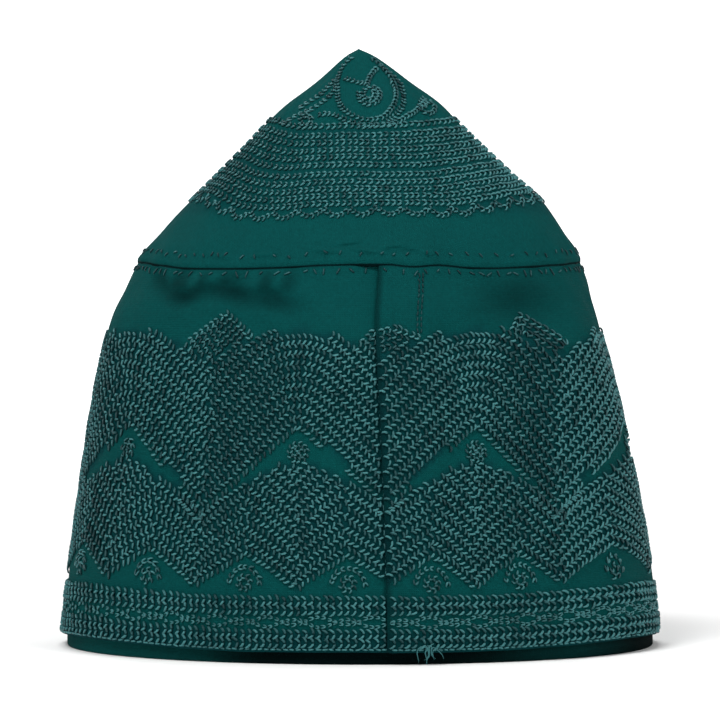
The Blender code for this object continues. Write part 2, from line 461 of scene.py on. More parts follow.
def turn_between(angle, other):
    """The signed angle from the other to the angle, in degrees, within half a turn."""
    return (angle - other + FULL_TURN / 2) % FULL_TURN - FULL_TURN / 2


def round_bump(angle, middle, spread):
    """A smooth hill round an angle, in degrees."""
    return bump(turn_between(angle, middle), spread)


def put(name, data):
    """An object of the data, in the scene."""
    thing = bpy.data.objects.new(name, data)
    bpy.context.scene.collection.objects.link(thing)
    return thing


def mark(mesh, name, values):
    """A number at each vertex of a mesh, for its material to read."""
    layer = mesh.attributes.new(name, "FLOAT", "POINT")
    layer.data.foreach_set("value", values.astype(np.float32).ravel())


def read_table(table, place, column):
    """A column of a table at places in its first column, on a smooth curve through its rows."""
    rows = np.array(sorted(table), dtype=float)
    known = rows[:, 0]
    values = rows[:, column]
    slopes = np.empty_like(values)
    slopes[1:-1] = (values[2:] - values[:-2]) / (known[2:] - known[:-2])
    slopes[0] = (values[1] - values[0]) / (known[1] - known[0])
    slopes[-1] = (values[-1] - values[-2]) / (known[-1] - known[-2])
    place = np.asarray(place, dtype=float)
    lower = np.clip(np.searchsorted(known, place, side="right") - 1, 0, len(known) - 2)
    span = known[lower + 1] - known[lower]
    t = (place - known[lower]) / span
    return (
        (2 * t**3 - 3 * t**2 + 1) * values[lower]
        + (t**3 - 2 * t**2 + t) * span * slopes[lower]
        + (3 * t**2 - 2 * t**3) * values[lower + 1]
        + (t**3 - t**2) * span * slopes[lower + 1]
    )


def unit(vectors):
    """The vectors at length 1."""
    return vectors / np.maximum(np.linalg.norm(vectors, axis=-1, keepdims=True), 1e-12)


def dents(table, angle, height):
    """The share by which the cloth is pushed out, or in where it is negative."""
    total = 0.0
    for middle, spread, level, reach, push in table:
        total = total + push * round_bump(angle, middle, spread) * bump(height - level, reach)
    return total


def gathers(angle, height):
    """The small puffs under the crown seam, pushed in between their crests."""
    share = (angle - GATHER_FROM) / (GATHER_TO - GATHER_FROM)
    below = (SLOPE_TOP - height) / GATHER_DROP
    inside = (share > 0.0) & (share < 1.0) & (below > 0.0) & (below < 1.0)
    middle = (GATHER_FROM + GATHER_TO) / 2
    wave = np.sin(math.pi * GATHER_COUNT * share) ** 2
    fade = np.sin(math.pi * below) ** 2 * bump(angle - middle, GATHER_SPREAD)
    return np.where(inside, -GATHER_DEPTH * (1.0 - wave) * fade, 0.0)


def lap_rise(past_fold, half_width):
    """How far cloth past the fold, in degrees, is raised by the lap under it."""
    lap_turn = np.degrees(LAP_WIDTH / half_width)
    return (PANEL_CLOTH + CLEARANCE) * (1.0 - smooth_step(past_fold / lap_turn - 1.0))


def half_sizes(height):
    """The side's half width and half depth at a height, and its sideways shift."""
    share = np.minimum(height / SLOPE_TOP, 1.0)
    flare = read_table(SIDE_SECTIONS, share, 1)
    shift = read_table(SIDE_SECTIONS, share, 2) * SEAM_WIDTH
    half_width = (SEAM_WIDTH + (RIM_WIDTH - SEAM_WIDTH) * flare) / 2
    half_depth = (SEAM_DEPTH + (RIM_DEPTH - SEAM_DEPTH) * flare) / 2
    return half_width, half_depth, shift


def side_place(angle, height, out):
    """Points of the side, as in the CAD source."""
    angle, height, out = np.broadcast_arrays(angle, height, out)
    half_width, half_depth, shift = half_sizes(height)
    share = np.minimum(height / SLOPE_TOP, 1.0)
    push = out + PANEL_DENT * dents(PANEL_DENTS, angle, share)
    push = push + gathers(turn_between(angle, 0.0), height)
    sine = np.sin(np.radians(angle))
    cosine = np.cos(np.radians(angle))
    outward = unit(np.stack([sine * half_depth, -cosine * half_width, 0.0 * sine], -1))
    middle = np.stack([sine * half_width + shift, -cosine * half_depth, height], -1)
    return middle + push[..., None] * outward


def seam_fold(angle, height):
    """0 to 1 in the crease that runs under the gathers, left of the front."""
    turn = turn_between(angle, 0.0)
    line = read_table(CREASE_LINE, np.clip(turn, CREASE_LINE[0][0], CREASE_LINE[-1][0]), 1)
    along = window(turn, -68.0, 12.0, -7.0, 16.0)
    return bump(height - line, np.where(height > line, CREASE_ABOVE, CREASE_BELOW)) * along


def seam_wave(angle):
    """The rise of the crown seam at an angle."""
    return read_table(SEAM_WAVE, turn_between(angle, 0.0), 1)


def panel_relief(angle, height):
    """Relief finer than the CAD's: a crease, puckers along the crown seam, and soft waves."""
    turn = turn_between(angle, 0.0)
    left = window(turn, -60.0, 8.0, -8.0, 8.0)
    below = PANEL_TOP - height
    puff = np.sin(math.pi * np.clip(below / PUFF_REACH, 0.0, 1.0))
    pucker = np.sin(turn * 0.19 + 0.7 * np.sin(turn * 0.083)) ** 2
    relief = -CREASE_DEPTH * seam_fold(angle, height)
    relief = relief + puff * (PUFF * left + (PUCKER + PUCKER_LEFT * left) * (pucker - 0.5))
    relief = relief - SEAM_TUCK * smooth_step(1.0 - below / 0.0007)
    relief = relief - SIDE_HOLLOW * bump(np.abs(turn) - 96.0, 44.0) * bump(height - 0.0985, 0.026)
    waves = np.sin(turn * 0.37 + height * 260.0) * np.sin(height * 190.0 + turn * 0.11)
    return relief + SIDE_WAVE * waves


def lapped_place(angle, height, out=0.0):
    """Points of the lapped strip: past LAP_ANGLE + 360 it lies under its own start."""
    half_width = half_sizes(height)[0]
    rise = lap_rise(angle - LAP_ANGLE, half_width)
    points = side_place(angle, height, rise + out + panel_relief(angle, height)) + box_shift
    near = smooth_step(1.0 - (PANEL_TOP - height) / 0.010)
    points[..., 2] += seam_wave(angle) * near
    return points


def near_seam(width):
    """0 on the crown, and up to 1 at its seam."""
    return smooth_step((width - 0.90) / 0.10)


def crown_relief(angle, width):
    """Relief finer than the CAD's: puckers along the seam and creases over it."""
    turn = turn_between(angle, 0.0)
    near = near_seam(width)
    pucker = np.sin(turn * 0.23 + 0.9 * np.sin(turn * 0.071)) ** 2
    relief = PUCKER_CROWN * near * (pucker - 0.5) - SEAM_TUCK * smooth_step((width - 0.994) / 0.006)
    for middle, level, half_length, half_width, tilt, push in CREASES:
        off = turn_between(angle, middle)
        line = level + tilt * off
        relief = relief + push * bump(off, half_length) * bump(width - line, half_width)
    waves = np.sin(turn * 0.21 + width * 9.0) * np.sin(width * 17.0 - turn * 0.13)
    return relief + CROWN_WAVE * waves * smooth_step(width / 0.3) * (1.0 - near)


def crown_place(angle, width, out=0.0, drop=0.0):
    """Points of the crown at a share of the seam's width, as in the CAD source."""
    angle, width, out, drop = np.broadcast_arrays(angle, width, out, drop)
    share = read_table(CROWN_SECTIONS, width, 1)
    shift = read_table(CROWN_SECTIONS, width, 2) * SEAM_WIDTH
    past_fold = turn_between(angle, LAP_ANGLE)
    clear_of_lap = smooth_step(share * CROWN_RISE / LAP_FADE)
    push = out + CROWN_DENT * dents(CROWN_DENTS, angle, share) * clear_of_lap
    over_lap = smooth_step(past_fold / LAP_LEAD + 1.0) * (1.0 - clear_of_lap)
    push = push + lap_rise(past_fold, SEAM_WIDTH / 2) * over_lap + crown_relief(angle, width)
    sine = np.sin(np.radians(angle))
    cosine = np.cos(np.radians(angle))
    outward = unit(np.stack([sine * SEAM_DEPTH, -cosine * SEAM_WIDTH, 0.0 * sine], -1))
    outward[..., 2] = SEAM_WIDTH / 2 / CROWN_HEIGHT * clear_of_lap
    outward = unit(outward)
    middle = np.stack([
        sine * SEAM_WIDTH / 2 * width + shift,
        -cosine * SEAM_DEPTH / 2 * width,
        CROWN_FOOT - drop + share * CROWN_RISE,
    ], -1)
    points = middle + push[..., None] * outward + box_shift
    points[..., 2] += seam_wave(angle) * near_seam(width)
    return points


def band_place(angle, height, out=0.0):
    """Points of the inner band, which stands upright at its foot."""
    angle, height = np.broadcast_arrays(angle, height)
    inset = PANEL_CLOTH + CLEARANCE
    points = side_place(angle, np.maximum(height, BAND_FOOT), out - inset)
    points[..., 2] = height
    return points + box_shift


def facing(surface, angle, level, angle_step=0.05, level_step=0.0002):
    """The outward normals of a surface."""
    across = surface(angle + angle_step, level) - surface(angle - angle_step, level)
    up = surface(angle, level + level_step) - surface(angle, level - level_step)
    normal = unit(np.cross(across, up))
    middle = surface(angle, level)
    inner = middle * np.array([0.0, 0.0, 1.0]) - np.array([0.0, 0.0, 0.06])
    side = np.sign(np.sum(normal * (middle - inner), -1, keepdims=True))
    return normal * np.where(side == 0.0, 1.0, side)


def side_lift(angle):
    """How far the hem is lifted left and right of the front."""
    return SIDE_LIFT * bump(np.abs(turn_between(angle, 0.0)) - 68.0, 52.0)


def hem_height(angle):
    """The height of the panel's hem, a little higher at the front and at its sides."""
    front = np.maximum(np.cos(np.radians(angle)), 0.0)
    return HEM_RISE + HEM_FRONT_LIFT * front**2 + side_lift(angle)


def flat_level(angle, height):
    """The level in the embroidery's drawing of a height on the cloth."""
    return height - side_lift(angle) * bump(height, SIDE_LIFT_REACH)


def lifted(angle, level):
    """The height on the cloth of a level in the embroidery's drawing."""
    return level + side_lift(angle) * bump(level, SIDE_LIFT_REACH)


# Shapes of the embroidery, as heights at a repeat


def off_hill(repeat):
    """How far a repeat is from the nearest hill, up to a half."""
    return np.abs(repeat - np.round(repeat))


def top_edge(repeat):
    """The upper edge of the embroidery, without its leaves."""
    return HILL_TOP - VALLEY_DROP * (off_hill(repeat) / 0.5) ** 1.7


def arch_top(repeat):
    """The upper edge of the plain arch between the two zones."""
    off = off_hill(repeat)
    return ARCH_PEAK - ARCH_SLOPE * (np.sqrt(off**2 + ARCH_ROUND**2) - ARCH_ROUND)


def arch_bottom(repeat):
    """The lower edge of the plain arch, which tapers out towards the valleys."""
    roof = np.minimum(POCKET, POCKET_RIDGE - POCKET_SLOPE * off_hill(repeat))
    return np.minimum(arch_top(repeat), roof)


def off_point(repeat):
    """How far a repeat is from the nearest point of the zigzag, up to 1 in the middle between two."""
    return np.abs(repeat - np.round(repeat * 2) / 2) / 0.25


def zigzag(repeat):
    """The lower edge of the lower zone: points down at each half repeat, arches between."""
    return ZIGZAG_FOOT + ZIGZAG_RISE * off_point(repeat) ** 0.8


def leaf_edge(repeat):
    """The upper edge of the leaves, or 0 where there is none."""
    edge = np.zeros_like(repeat)
    for left, peak, right, height in LEAVES:
        rising = (repeat - left) / (peak - left)
        falling = (right - repeat) / (right - peak)
        share = np.clip(np.minimum(rising, falling), 0.0, 1.0)
        inside = (repeat > left) & (repeat < right)
        edge = np.where(inside, LEAF_FOOT + (height - LEAF_FOOT) * share**0.8, edge)
    return edge


def repeat_at(angle, height):
    """The repeat of the embroidery at an angle from LAP_ANGLE once round, and a height."""
    right = round_bump(angle, LEAN_MIDDLE, LEAN_SPREAD)
    left = round_bump(angle, LEFT_LEAN_MIDDLE, LEFT_LEAN_SPREAD)
    foot = round_bump(angle, FOOT_LEAN_MIDDLE, FOOT_LEAN_SPREAD) * bump(height, FOOT_LEAN_REACH)
    lean = read_table(REPEAT_LEAN, height, 1) * right - FOOT_LEAN * foot
    lean = lean + read_table(LEFT_LEAN, height, 1) * left
    return read_table(REPEATS, angle - lean, 1)


def stitch_shade_share(angle, height):
    """How much painted shade lies on the cloth between the stitches: 0 on plain cloth and 1 under dense
    embroidery of the side.
    """
    level = flat_level(angle, height)
    repeat = repeat_at(np.clip(angle, LAP_ANGLE, LAP_END), level)
    upper = window(level, arch_top(repeat), STITCH_SHADE_FADE, top_edge(repeat), STITCH_SHADE_FADE)
    lower = window(level, zigzag(repeat), STITCH_SHADE_FADE, arch_bottom(repeat), STITCH_SHADE_FADE)
    above = height - hem_height(angle)
    braids = np.clip(2.2 * (bump(above - 0.0140, 0.0034) + bump(above - 0.0026, 0.0049)), 0.0, 1.0)
    leaf = 0.8 * smooth_step((leaf_edge(repeat) - height) / STITCH_SHADE_FADE) * (height > 0.09)
    return np.maximum(np.maximum(upper, lower), np.maximum(braids, leaf))


# Cloth


def shell(name, middle, normals, half, attributes, uv, closed, pole):
    """A closed cloth shell with rounded edges round the middle surface of a grid of points.

    middle and normals are columns by rows by 3 and half is the half thickness of each column.
    closed joins the last column to the first, and pole leaves the last row to meet in a point.
    """
    columns, rows = middle.shape[:2]
    half = half[:, None, None]
    outer = middle + normals * half
    inner = middle - normals * half
    turns = np.radians([45.0, 90.0, 135.0])

    def rounded(row, next_row):
        along = unit(middle[:, row] - middle[:, next_row])[:, None]
        side = normals[:, row][:, None]
        swing = np.cos(turns)[None, :, None] * side + np.sin(turns)[None, :, None] * along
        return middle[:, row][:, None] + half * swing

    upward = np.arange(rows)
    parts = [(inner[:, ::-1], upward[::-1]), (rounded(0, 1)[:, ::-1], [0, 0, 0]), (outer, upward)]
    if not pole:
        parts.append((rounded(rows - 1, rows - 2), [rows - 1] * 3))
    points = np.concatenate([part[0] for part in parts], 1)
    source = np.concatenate([part[1] for part in parts])
    length = points.shape[1]
    across = np.arange(columns if closed else columns - 1)
    along = np.arange(length - 1 if pole else length)
    first, second = np.meshgrid(across, along, indexing="ij")
    first, second = first.ravel(), second.ravel()
    after = (first + 1) % columns
    above = (second + 1) % length
    corners = ((first, second), (after, second), (after, above), (first, above))
    faces = np.stack([column * length + row for column, row in corners], 1)
    mesh = bpy.data.meshes.new(name)
    mesh.from_pydata(points.reshape(-1, 3), [], faces)
    for key, values in attributes.items():
        mark(mesh, key, values[:, source])
    flat = uv[:, source]
    corners = ((first, second), (first + 1, second), (first + 1, above), (first, above))
    weave = np.stack([flat[column, row] for column, row in corners], 1)
    mesh.uv_layers.new(name="weave").data.foreach_set("uv", weave.astype(np.float32).ravel())
    work = bmesh.new()
    work.from_mesh(mesh)
    bmesh.ops.remove_doubles(work, verts=work.verts, dist=1e-7)
    bmesh.ops.recalc_face_normals(work, faces=work.faces)
    work.to_mesh(mesh)
    work.free()
    mesh.shade_smooth()
    return put(name, mesh)


def build_panel():
    """The lapped strip of the side."""
    count, hidden, levels = 400, 8, 68
    angle = np.linspace(LAP_ANGLE, LAP_END, count + 1)
    under = np.concatenate([np.zeros(count + 1), np.arange(1, hidden + 1) / hidden])
    angle = np.concatenate([angle, np.full(hidden, LAP_END)])
    share = np.concatenate([np.linspace(0.0, 0.86, levels - 24), np.linspace(0.86, 1.0, 25)[1:]])
    rows = np.concatenate([share, [1.0, 1.0]])
    lift = np.concatenate([np.zeros(levels), [0.6 * SEAM_EDGE, SEAM_EDGE]])
    foot = hem_height(angle)[:, None]
    height = foot + (SLOPE_TOP - foot) * rows[None, :] + lift[None, :]
    turned = angle[:, None] + under[:, None] * np.degrees(LAP_WIDTH / half_sizes(height)[0])
    outer = lapped_place(turned, height)
    normals = facing(lapped_place, turned, height)
    half = np.full(len(angle), PANEL_CLOTH / 2)
    middle = outer - normals * PANEL_CLOTH / 2
    ends = np.radians([35.0, 65.0, 90.0])

    def capped(column, next_column):
        along = unit(middle[column] - middle[next_column])
        cap = [middle[column] + along * half[0] * math.sin(turn) for turn in ends]
        return cap, [half[0] * math.cos(turn) + 1e-9 for turn in ends]

    start_cap, start_half = capped(0, 1)
    end_cap, end_half = capped(-1, -2)
    middle = np.concatenate([start_cap[::-1], middle, end_cap])
    normals = np.concatenate([normals[:1].repeat(3, 0), normals, normals[-1:].repeat(3, 0)])
    half = np.concatenate([start_half[::-1], half, end_half])

    def widened(values):
        return np.concatenate([values[:1].repeat(3, 0), values, values[-1:].repeat(3, 0)])

    half_width = half_sizes(height)[0]
    past_fold = np.radians(turned - LAP_ANGLE) * half_width
    to_end = np.radians(LAP_END - turned) * half_width
    # Painted shade: a dark line in the crown seam's groove and along both edges of the upright fold, and
    # darker cloth in the crease and pleats under the gathers and in the dent right of the front
    shade = 0.9 * smooth_step(1.0 - (PANEL_TOP - height) / 0.0004)
    shade = np.maximum(shade, 0.5 * smooth_step(1.0 - past_fold / 0.0004))
    shade = np.maximum(shade, 0.6 * smooth_step(1.0 - (to_end - 0.0002) / 0.0005))
    turn = turn_between(turned, 0.0)
    pleats = window(turn, -62.0, 10.0, -6.0, 14.0) * bump(SLOPE_TOP - 0.004 - height, 0.007)
    pleats = pleats * (0.5 + 0.5 * np.sin(turn * 0.72 + 1.3 * np.sin(turn * 0.31)))
    uneven = 0.82 + 0.18 * np.sin(turn * 0.42 + 2.6)
    shade = np.maximum(shade, 0.64 * uneven * seam_fold(turned, height))
    shade = np.maximum(shade, 0.50 * pleats)
    shade = np.maximum(shade, 0.38 * round_bump(turned, 42.0, 22.0) * bump(height - 0.117, 0.014))
    uv = np.stack([np.radians(turned) * FLAT_RADIUS, height * 1.04], -1)
    # stitch_shade is painted shade between the stitches, and shade is painted shade in grooves and
    # creases
    attributes = {"stitch_shade": widened(stitch_shade_share(turned, height)), "shade": widened(shade)}
    return shell("side_cloth", middle, normals, half, attributes, widened(uv), False, False)


def build_crown():
    """The crown's cloth."""
    columns = 400
    angle = np.linspace(-180.0, 180.0, columns + 1)
    width = np.concatenate([
        [1.0, 1.0], np.linspace(1.0, 0.88, 42), np.linspace(0.88, 0.05, 36)[1:], [0.03, 0.012, 0.0],
    ])
    drop = np.concatenate([[SEAM_EDGE, 0.6 * SEAM_EDGE], np.zeros(len(width) - 2)])
    angle_grid, width_grid = np.meshgrid(angle, width, indexing="ij")
    outer = crown_place(angle_grid, width_grid, 0.0, drop[None, :])
    shown_width = np.clip(width_grid, 0.012, 0.9985)
    normals = facing(crown_place, angle_grid, shown_width)
    normals[:, -1] = (0.0, 0.0, 1.0)
    normals[:, :2] = normals[:, 2:3]
    tip = outer[0, -1].copy()
    outer[:, -1] = tip
    middle = outer - normals * CROWN_CLOTH / 2
    height = outer[..., 2]
    below_tip = tip[2] - height
    rows_zone = window(below_tip, 0.0270, 0.001, 0.0560, 0.002)
    above_seam = read_table(CROWN_SECTIONS, width_grid, 1) * CROWN_RISE - drop[None, :] + SEAM_EDGE
    # Painted shade: a dark line in the crown seam's groove
    shade = 0.9 * smooth_step(1.0 - above_seam / 0.0004)
    slant = np.linalg.norm(outer - tip, axis=-1)
    spread = np.radians(angle_grid) * 0.69
    uv = np.stack([slant * np.sin(spread), slant * np.cos(spread)], -1)
    half = np.full(columns, CROWN_CLOTH / 2)
    # Painted shade between the crown's rows of stitches
    attributes = {"stitch_shade": 0.45 * rows_zone[:-1], "shade": shade[:-1]}
    return shell("crown_cloth", middle[:-1], normals[:-1], half, attributes, uv, True, True)


def build_band():
    """The plain inner band."""
    columns = 240
    angle = np.linspace(LAP_ANGLE, LAP_END, columns + 1)
    above = np.linspace(BAND_FOOT, BAND_HEIGHT, 12)[1:]
    height = np.concatenate([[BAND_CLOTH / 2, 0.0016, BAND_FOOT], above])
    angle_grid, height_grid = np.meshgrid(angle, height, indexing="ij")
    outer = band_place(angle_grid, height_grid)
    normals = facing(band_place, angle_grid, np.maximum(height_grid, BAND_FOOT + 0.0004))
    middle = outer - normals * BAND_CLOTH / 2
    middle[..., 2] = height_grid
    turn = turn_between(angle_grid, 0.0)
    # Painted shade on the band under the hem's overhang, with painted light where it is lit, left of the
    # front and a little right of it
    lit = smooth_step((-17.0 - turn) / 16.0) * bump(turn + 62.0, 66.0)
    lit_right = 0.35 * bump(turn - 44.0, 26.0)
    shade = 0.93 - np.maximum(0.90 * lit, lit_right)
    uv = np.stack([np.radians(angle_grid) * FLAT_RADIUS, height_grid], -1)
    half = np.full(columns, BAND_CLOTH / 2)
    attributes = {"stitch_shade": 0.0 * shade[:-1], "shade": shade[:-1]}
    return shell("inner_band_cloth", middle[:-1], normals[:-1], half, attributes, uv, True, False)


# Stitches


def stitch_length(angle):
    """How many pitches long a stitch is: more left and right of the front."""
    turn = np.abs(turn_between(angle, 0.0))
    return 1.0 + SIDE_STRETCH * window(turn, 26.0, 36.0, 122.0, 24.0)


def row_of(surface, angle, level, style, keep=None, shades=None):
    """Places of stitches along a path on a surface, one row of numbers each."""
    pitch = style[0]
    angle = np.broadcast_to(angle, np.shape(level)).astype(float)
    steps = steps_along(surface(angle, level))
    length = run_up(steps)
    passed = run_up(steps / ((stitch_length(angle[1:]) + stitch_length(angle[:-1])) / 2))
    count = int(round(passed[-1] / pitch))
    marks = np.interp((np.arange(count) + 0.5) * passed[-1] / count, passed, length)
    marks = marks + rng.normal(0.0, 0.05 * pitch, count)
    columns = [
        np.interp(marks + off, length, path)
        for path in (angle, level)
        for off in (0.0, -LOOK_AHEAD, LOOK_AHEAD)
    ]
    tone = style[4] * (1.0 if shades is None else shades(columns[0], columns[3]))
    tone = tone * np.clip(1.0 + rng.normal(0.0, 0.30, count), 0.35, 1.8)
    columns += [pitch * stitch_length(columns[0])]
    columns += [np.full(count, value) for value in style[1:4]] + [tone]
    made = np.stack(columns, 1)
    if keep is not None:
        made = made[keep(made[:, 0], made[:, 3])]
    return made


def strand_triangles(rings):
    """The triangles of a strand: a point, rings of four corners, and a point."""
    corner = np.arange(4)
    following = (corner + 1) % 4
    last = 4 * rings + 1
    parts = [np.stack([np.zeros(4, int), 1 + following, 1 + corner], 1)]
    for ring in range(rings - 1):
        lower, upper = 1 + 4 * ring, 5 + 4 * ring
        parts.append(np.stack([lower + corner, lower + following, upper + following], 1))
        parts.append(np.stack([lower + corner, upper + following, upper + corner], 1))
    parts.append(np.stack([np.full(4, last), last - 4 + corner, last - 4 + following], 1))
    return np.concatenate(parts)


def thread_sheen(along, normal):
    """Painted sheen: thread that lies across the cloth, a little uphill, is painted the brightest."""
    across = unit(np.cross(np.array([0.0, 0.0, 1.0]), normal))
    up = np.cross(normal, across)
    turn = np.arctan2(np.sum(along * up, -1), np.sum(along * across, -1))
    return SHEEN_LEAST + SHEEN_GAIN * np.cos(turn - math.radians(SHEEN_TURN)) ** 2


def sew(name, surface, slot, rows, strand, material):
    """Builds the stitches of the rows as one joined mesh. A loop has a strand on both sides."""
    stitches = np.concatenate(rows)
    stitches = stitches[np.argsort(stitches[:, 0], kind="stable")]
    angle, angle_back, angle_on, level, level_back, level_on = stitches[:, :6].T
    pitch, half_width, lift, radius, tone = stitches[:, 6:].T
    centre = surface(angle, level)
    normal = facing(surface, angle, level)
    ahead = unit(surface(angle_on, level_on) - surface(angle_back, level_back))
    side = unit(np.cross(normal, ahead))
    swing = rng.normal(0.0, 0.15, len(angle))[:, None]
    ahead, side = unit(ahead + swing * side), unit(side - swing * ahead)
    size = 1.0 + rng.normal(0.0, 0.09, len(angle))
    points, tones = [], []
    for sign in (1.0, -1.0) if strand is LOOP_STRAND else (1.0,):
        nodes = [
            centre
            + ahead * (forward * pitch * size)[:, None]
            + side * (sign * sideways * half_width * size)[:, None]
            + normal * (up * lift)[:, None]
            for forward, sideways, up, _ in strand
        ]
        rings = [nodes[0]]
        # Painted highlight on each ring's crest, painted shade on its flanks and the strand's tips, and
        # painted sheen by the strand's direction
        levels = [TIP_PAINTED_SHADE]
        for node in range(1, len(strand) - 1):
            along = unit(nodes[node + 1] - nodes[node - 1])
            across = unit(np.cross(normal, along))
            above = np.cross(along, across)
            for turn in np.radians([45.0, 135.0, 225.0, 315.0]):
                offset = math.cos(turn) * across + math.sin(turn) * above
                rings.append(nodes[node] + offset * (strand[node][3] * radius * 1.2)[:, None])
            levels += [CREST_PAINTED_HIGHLIGHT, CREST_PAINTED_HIGHLIGHT, FLANK_PAINTED_SHADE, FLANK_PAINTED_SHADE]
        rings.append(nodes[-1])
        levels.append(TIP_PAINTED_SHADE)
        strand_tone = tone * thread_sheen(nodes[-2] - nodes[1], normal)
        points.append(np.stack(rings, 1))
        tones.append(strand_tone[:, None] * np.array(levels)[None, :])
    points = np.stack(points, 1).reshape(-1, 3)
    tones = np.stack(tones, 1).reshape(-1)
    tri = strand_triangles(len(strand) - 2)
    first = np.arange(0, len(points), 4 * (len(strand) - 2) + 2)
    tri = (tri[None] + first[:, None, None]).reshape(-1, 3)
    triangle_piece(name, points, tri, tones, material)


def triangle_piece(name, points, tri, tones, material):
    """A piece of triangles with a tone at each vertex."""
    mesh = bpy.data.meshes.new(name)
    mesh.from_pydata(points, [], tri)
    mark(mesh, "tone", tones)
    mesh.shade_smooth()
    mesh.materials.append(material)
    piece = put(name, mesh)
    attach(piece, "root")


def side_shades(angle, height):
    """The painted light and shade on the side's thread at a place."""
    return read_table(THREAD_SHADES, np.clip(repeat_at(angle, height), -0.47, 6.45), 1)


def low_shades(angle, height):
    """The painted light and shade on the thread in the lower zone and the borders, which is more even."""
    return 0.48 + 0.60 * side_shades(angle, height)


def crown_shades(angle, width):
    """The tone of the crown's thread, darker left of the front."""
    return 0.97 - 0.45 * round_bump(angle, -55.0, 48.0)


FOLD_START = LAP_ANGLE + 0.25
FOLD_END = LAP_END - 0.28
ROUND = np.linspace(FOLD_START, FOLD_END, 2600)


def settled(shape, start):
    """Heights once round of a line that is given as a height at a repeat."""
    level = np.full_like(ROUND, start)
    for _ in range(8):
        level = shape(repeat_at(ROUND, level))
    return level


def angle_at(repeat, height):
    """Angles at repeats, near one height."""
    return np.interp(repeat, repeat_at(ROUND, height), ROUND)


def upper_rows():
    """Rows side by side from the plain arches up, cut off by the upper edge."""

    def keep(angle, height):
        level = flat_level(angle, height)
        here = repeat_at(angle, level)
        over = (level > arch_top(here) + ROW_CLEAR) | (off_hill(here) > 0.37)
        return over & (level < top_edge(here) - 0.0007)

    slope = ARCH_SLOPE / REPEAT_ARC
    lean = math.atan(slope)
    rows = []
    for index in range(-1, UPPER_ROWS):
        hill = ARCH_PEAK + FIRST_ROW + index * UPPER_STEP

        def line(repeat):
            radius = UPPER_ROUND + hill - ARCH_PEAK
            reach = off_hill(repeat) * REPEAT_ARC
            bend = radius * math.sin(lean)
            inside = np.minimum(reach, bend)
            drop = radius - np.sqrt(radius**2 - inside**2) + (reach - inside) * slope
            return hill - drop + ROW_WAVE * np.sin(repeat * 9.0 + index * 1.7)

        level = lifted(ROUND, settled(line, 0.09))
        rows.append(row_of(lapped_place, ROUND, level, FILL, keep, side_shades))
    return rows


def lower_rows():
    """Rows over the zigzag, up to the plain arches and the flowers."""

    def keep(angle, height):
        level = flat_level(angle, height)
        here = repeat_at(angle, level)
        gap = 0.0010 + 0.0018 * smooth_step((off_hill(here) - 0.34) / 0.04)
        return (level < arch_bottom(here) - gap) & (level > zigzag(here) + ROW_CLEAR)

    rows = []
    for index in range(LOWER_ROWS):
        share = index / LOWER_ROWS

        def line(repeat):
            level = zigzag(repeat) + FIRST_ROW + index * LOWER_STEP
            level = level + LOWER_FLATTEN * share * off_point(repeat)
            return level + ROW_WAVE * np.sin(repeat * 11.0 + index * 2.1)

        level = lifted(ROUND, settled(line, 0.04))
        rows.append(row_of(lapped_place, ROUND, level, FILL, keep, low_shades))
    return rows


def leaf_rows():
    """Rows nested under each leaf's edge, down to the hills beside it."""

    def keep(angle, level):
        return level > top_edge(repeat_at(angle, level)) + 0.0003

    rows = []
    for left, peak, right, height in LEAVES:
        repeat = np.linspace(max(left, -0.46), min(right, 6.44), 90)
        edge = leaf_edge(repeat)
        angle = angle_at(repeat, (LEAF_FOOT + height) / 2)
        rows.append(row_of(lapped_place, angle, edge - 0.0006, CHAIN, keep))
        for drop in np.arange(0.0032, 0.0175, LEAF_STEP):
            rows.append(row_of(lapped_place, angle, edge - drop, (*CHAIN[:4], LEAF_TONE), keep))
    return rows


def ring_row(angle, level, radius):
    """A row of petal stitches round a small circle on the side."""
    sweep = np.linspace(0.0, 2 * math.pi, 60)
    beside_by, over_by = np.array([0.0, 0.5, 0.0]), np.array([0.0, 0.0, 0.001])
    centre, beside, over = lapped_place(angle + beside_by, level + over_by)
    across = radius * 0.5 / np.linalg.norm(beside - centre)
    up = radius * 0.001 / np.linalg.norm(over - centre)
    return row_of(lapped_place, angle + np.cos(sweep) * across, level + np.sin(sweep) * up, PETAL)


def flower_rows():
    """Small round flowers: one in each plain triangle, under an arc, and one in each plain arch."""
    rows = []
    level = ZIGZAG_FOOT + LOW_FLOWER
    for repeat in np.arange(-0.25, 6.3, 0.5):
        angle = float(angle_at(repeat, level))
        height = float(lifted(angle, level))
        rows.append(ring_row(angle, height, LOW_FLOWER_RADIUS))
        arc = np.linspace(0.04, 0.96, 50) * math.pi
        across = np.degrees(np.cos(arc) * ARC_REACH / FLAT_RADIUS)
        arc_level = height - ARC_FOOT + np.sin(arc) * ARC_HEIGHT
        rows.append(row_of(lapped_place, angle + across, arc_level, ARC))
    for hill in range(7):
        angle = float(angle_at(hill, 0.0682))
        rows += [ring_row(angle, ARCH_FLOWER, radius) for radius in ARCH_FLOWER_RADII]
    return rows


def border_rows():
    """Braided rows over the hem, with a wavy line of small stitches between the two bands."""
    foot = hem_height(ROUND)
    rows = []
    for above in BRAID_LEVELS:
        level = foot + above + 0.00012 * np.sin(ROUND * 0.9 + above * 9000.0)
        rows.append(row_of(lapped_place, ROUND, level, BRAID, None, low_shades))
    for phase, above in zip((0.0, math.pi), WAVE_LEVELS):
        level = foot + above + WAVE_HEIGHT * np.sin(np.radians(ROUND) * WAVES + phase)
        rows.append(row_of(lapped_place, ROUND, level, WAVE, None, side_shades))
    return rows


def hem_rows():
    """Dashes along the very edge of the hem."""
    return [row_of(lapped_place, ROUND, hem_height(ROUND) + 0.0001, EDGE, None, side_shades)]


